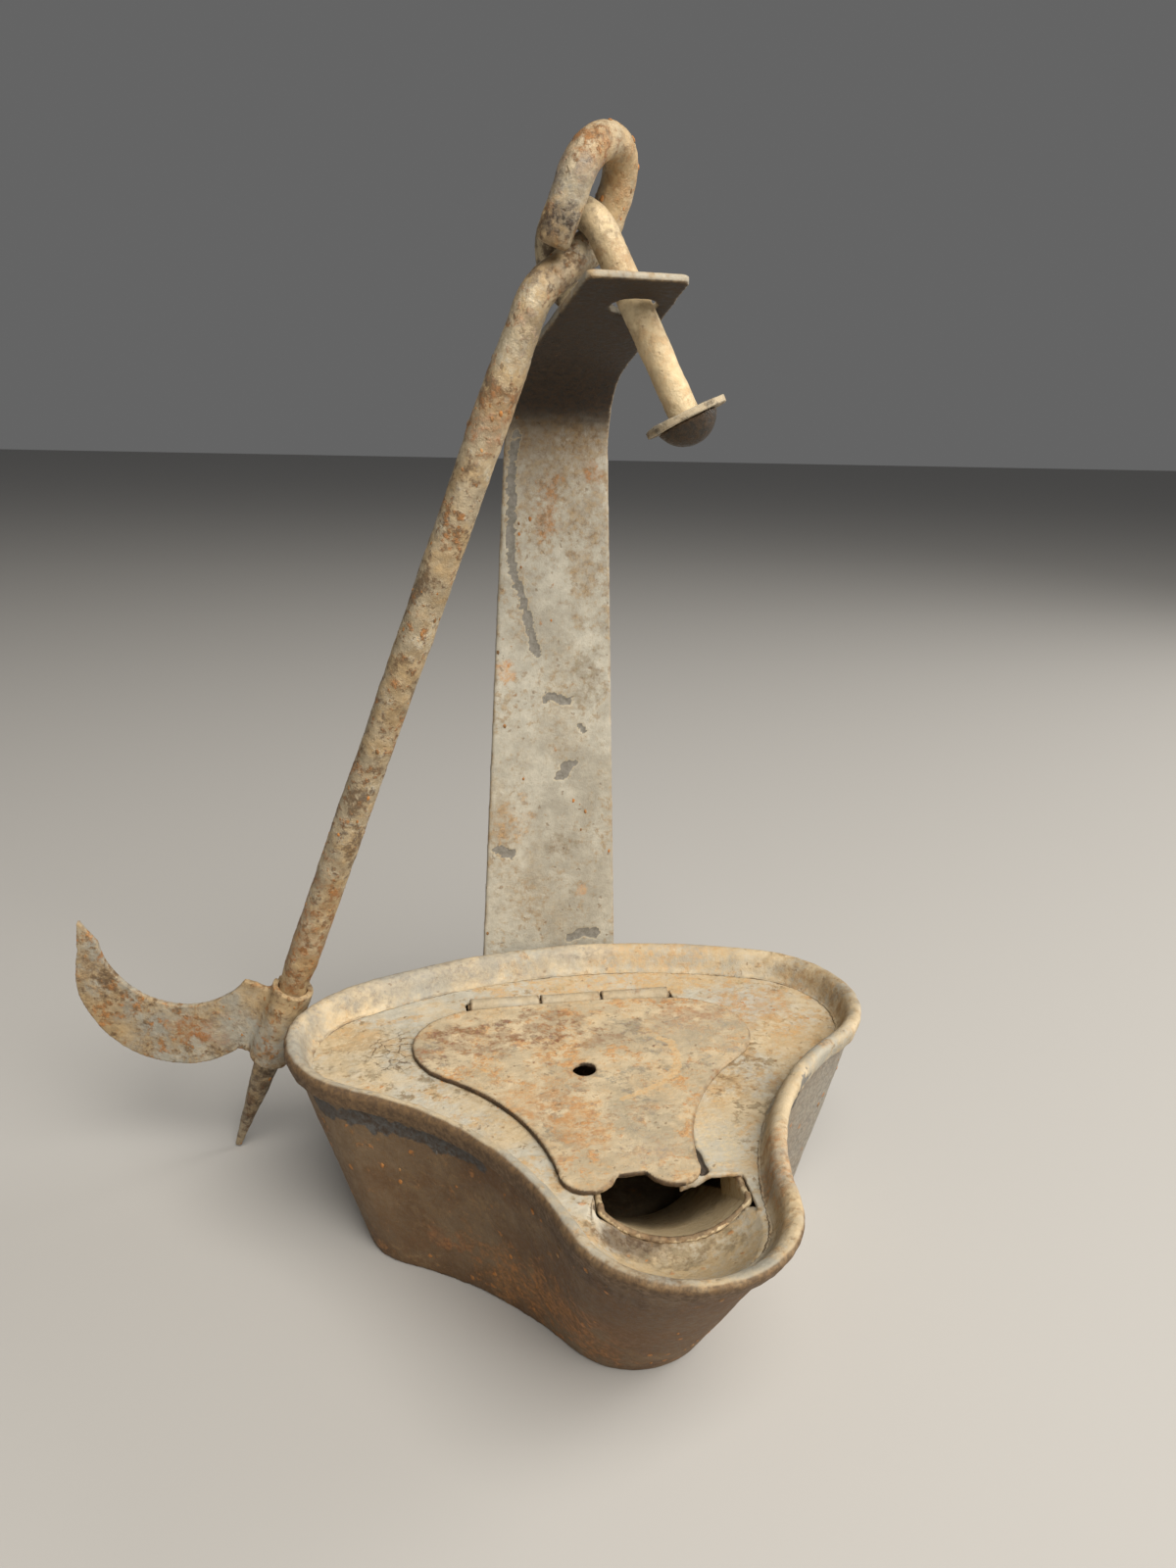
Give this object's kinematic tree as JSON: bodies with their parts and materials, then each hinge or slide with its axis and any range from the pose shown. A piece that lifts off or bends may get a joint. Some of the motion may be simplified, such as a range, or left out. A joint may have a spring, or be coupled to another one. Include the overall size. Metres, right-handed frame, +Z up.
{
  "type": "betty lamp",
  "caption": "Pear-shaped sheet-iron oil lamp with a hinged lid, a wick trough in its nose, a back strap, and a linked hanger with a hook and a spike.",
  "frame": {"origin": "on the floor's underside, on the middle line of the pear outline", "axes": "+Z up, -Y towards the nose and the wick, +Y towards the back strap, -X towards the hanger's hook as it leans at rest"},
  "size_m": [0.1364, 0.0969, 0.1708],
  "materials": {
    "grey_sheet": "old grey sheet iron with thin brown rust",
    "rusted_sheet": "sheet iron with thick orange-brown rust",
    "worn_iron": "forged iron bar, worn to tan and grey",
    "dark_iron": "dark oxidised iron"
  },
  "bodies": {
    "lamp": {"reservoir_wall": "grey_sheet", "reservoir_floor": "grey_sheet", "deck": "rusted_sheet", "rim_binding": "grey_sheet", "wick_trough": "rusted_sheet", "deck_hinge_leaf": "rusted_sheet", "hinge_pin": "dark_iron", "back_strap": "grey_sheet", "strap_rivets": "dark_iron"},
    "lid": {"lid": "rusted_sheet", "lid_hinge_leaf": "rusted_sheet"},
    "bolt": {"swivel_bolt": "worn_iron"},
    "washer": {"swivel_washer": "dark_iron"},
    "hanger": {"hanger_rod": "worn_iron", "hook": "worn_iron"}
  },
  "joints": [
    {"name": "lid_hinge", "type": "hinge", "parent": "lamp", "child": "lid", "pos_m": [0.0006, 0.0278, 0.0306], "axis": [-0.9976, 0.0698, 0], "range_deg": [0, 100]},
    {"name": "bolt_turn", "type": "hinge", "parent": "lamp", "child": "bolt", "pos_m": [0.00205, 0.00552, 0.14799], "axis": [0, 0.2419, 0.9703], "range_deg": [0, 32]},
    {"name": "washer_slide", "type": "slide", "parent": "bolt", "child": "washer", "axis": [-0.4239, 0.187, 0.8862], "range_m": [0, 0.012]},
    {"name": "hanger_swing", "type": "hinge", "parent": "bolt", "child": "hanger", "pos_m": [-0.00406, 0.01233, 0.15483], "axis": [0.8199, 0.4949, 0.2878], "range_deg": [0, 55]}
  ]
}
